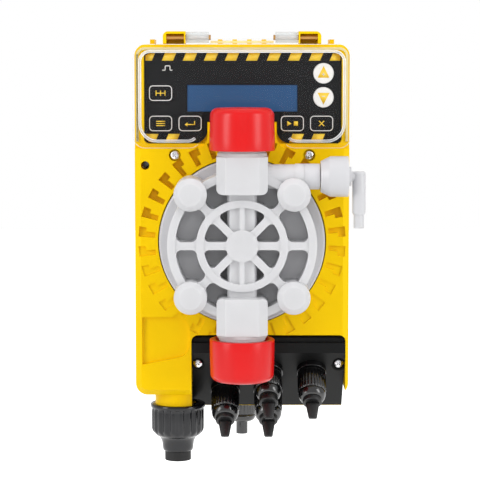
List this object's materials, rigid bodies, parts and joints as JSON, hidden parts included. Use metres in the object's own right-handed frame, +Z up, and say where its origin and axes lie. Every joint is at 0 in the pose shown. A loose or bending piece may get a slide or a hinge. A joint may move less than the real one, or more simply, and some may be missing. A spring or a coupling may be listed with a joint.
{
  "type": "diaphragm metering pump",
  "caption": "Wall-hung solenoid diaphragm metering pump with a ribbed head, ball-valve ports, bleed valve, hinged clear cover over a keypad and display, and cable glands below.",
  "frame": {"origin": "on the wall face of the rear housing, where the axis of the pump head meets it", "axes": "X to the right seen from the front, +Y into the wall, +Z up; the front looks along -Y"},
  "size_m": [0.1344, 0.1402, 0.2553],
  "materials": {
    "housing_yellow": "moulded, fine grain",
    "gasket_rubber": "soft",
    "seal_pale": "soft silicone",
    "screw_steel": "bright",
    "panel_black": "satin film",
    "display_glass": "backlit display",
    "board_green": "solder mask",
    "key_black": "satin film",
    "key_white": "satin film",
    "clear_plastic": "clear moulding",
    "steel": "zinc plated",
    "copper": "enamelled winding",
    "bobbin_nylon": "moulded",
    "bush_bronze": "sintered",
    "plate_grey": "moulded",
    "membrane": "faced membrane",
    "head_white": "moulded",
    "ceramic_white": "polished",
    "cap_red": "moulded",
    "nozzle_white": "translucent moulding",
    "terminal_black": "fine grain",
    "gland_black": "nylon",
    "gland_grey": "nylon"
  },
  "bodies": {
    "root": {"rear_housing": "housing_yellow", "front_housing": "housing_yellow", "housing_gasket": "gasket_rubber", "case_screws": "screw_steel", "terminal_cover_screws": "screw_steel", "control_panel": "panel_black", "lcd_module": "display_glass", "circuit_board": "board_green", "cover_seal": "seal_pale", "hinge_pins": "bush_bronze", "solenoid_housing": "steel", "solenoid_end_cap": "steel", "coil_bobbin": "bobbin_nylon", "solenoid_coil": "copper", "guide_bush": "bush_bronze", "return_spring": "steel", "back_plate": "plate_grey", "diaphragm": "membrane", "pump_head": "head_white", "head_bolts": "screw_steel", "bolt_caps": "head_white", "discharge_valve": "head_white", "discharge_seal": "gasket_rubber", "suction_valve": "head_white", "suction_seal": "gasket_rubber", "bleed_body": "nozzle_white", "terminal_cover": "terminal_black", "signal_gland_bodies": "gland_black", "signal_gland_nuts": "gland_black", "signal_gland_plugs": "gland_black", "rear_gland_body": "gland_black", "rear_gland_nut": "gland_black", "rear_gland_plug": "gland_black", "power_gland_body": "gland_grey", "power_gland_nut": "gland_grey", "power_gland_seal": "gasket_rubber"},
    "clear_cover": {"clear_cover": "clear_plastic"},
    "drive": {"armature": "steel", "push_rod": "steel", "diaphragm_core": "steel"},
    "discharge_ball": {"discharge_ball": "ceramic_white"},
    "suction_ball": {"suction_ball": "ceramic_white"},
    "discharge_cap": {"discharge_cap": "cap_red"},
    "suction_cap": {"suction_cap": "cap_red"},
    "bleed_knob": {"bleed_knob": "nozzle_white"},
    "bleed_nozzle": {"bleed_nozzle": "nozzle_white"},
    "key_calibrate": {"key_calibrate": "key_black"},
    "key_program": {"key_program": "key_black"},
    "key_mode": {"key_mode": "key_black"},
    "key_start": {"key_start": "key_black"},
    "key_escape": {"key_escape": "key_black"},
    "key_up": {"key_up": "key_white"},
    "key_down": {"key_down": "key_white"}
  },
  "joints": [
    {"name": "cover_hinge", "type": "hinge", "parent": "root", "child": "clear_cover", "pos_m": [0, -0.095, 0.1188], "axis": [-1, 0, 0], "range_deg": [0, 110]},
    {"name": "key_calibrate_press", "type": "slide", "parent": "root", "child": "key_calibrate", "axis": [0, 1, 0], "range_m": [0, 0.0005], "stiffness_N_per_m": 800},
    {"name": "key_program_press", "type": "slide", "parent": "root", "child": "key_program", "axis": [0, 1, 0], "range_m": [0, 0.0005], "stiffness_N_per_m": 800},
    {"name": "key_mode_press", "type": "slide", "parent": "root", "child": "key_mode", "axis": [0, 1, 0], "range_m": [0, 0.0005], "stiffness_N_per_m": 800},
    {"name": "key_start_press", "type": "slide", "parent": "root", "child": "key_start", "axis": [0, 1, 0], "range_m": [0, 0.0005], "stiffness_N_per_m": 800},
    {"name": "key_escape_press", "type": "slide", "parent": "root", "child": "key_escape", "axis": [0, 1, 0], "range_m": [0, 0.0005], "stiffness_N_per_m": 800},
    {"name": "key_up_press", "type": "slide", "parent": "root", "child": "key_up", "axis": [0, 1, 0], "range_m": [0, 0.0005], "stiffness_N_per_m": 800},
    {"name": "key_down_press", "type": "slide", "parent": "root", "child": "key_down", "axis": [0, 1, 0], "range_m": [0, 0.0005], "stiffness_N_per_m": 800},
    {"name": "drive_stroke", "type": "slide", "parent": "root", "child": "drive", "axis": [0, -1, 0], "range_m": [0, 0.00125], "stiffness_N_per_m": 3000, "deforming": ["return_spring", "diaphragm"]},
    {"name": "discharge_ball_lift", "type": "slide", "parent": "root", "child": "discharge_ball", "axis": [0, 0, 1], "range_m": [0, 0.0025]},
    {"name": "suction_ball_lift", "type": "slide", "parent": "root", "child": "suction_ball", "axis": [0, 0, 1], "range_m": [0, 0.0025]},
    {"name": "discharge_cap_pull", "type": "slide", "parent": "root", "child": "discharge_cap", "axis": [0, 0, 1], "range_m": [0, 0.03]},
    {"name": "suction_cap_pull", "type": "slide", "parent": "root", "child": "suction_cap", "axis": [0, 0, -1], "range_m": [0, 0.012]},
    {"name": "bleed_knob_turn", "type": "hinge", "parent": "root", "child": "bleed_knob", "pos_m": [0.0527, -0.1215, 0.0394], "axis": [1, 0, 0], "range_deg": [0, 360]},
    {"name": "bleed_nozzle_swivel", "type": "hinge", "parent": "root", "child": "bleed_nozzle", "pos_m": [0.0669, -0.1215, 0.0394], "axis": [1, 0, 0], "range_deg": [-100, 100]}
  ]
}
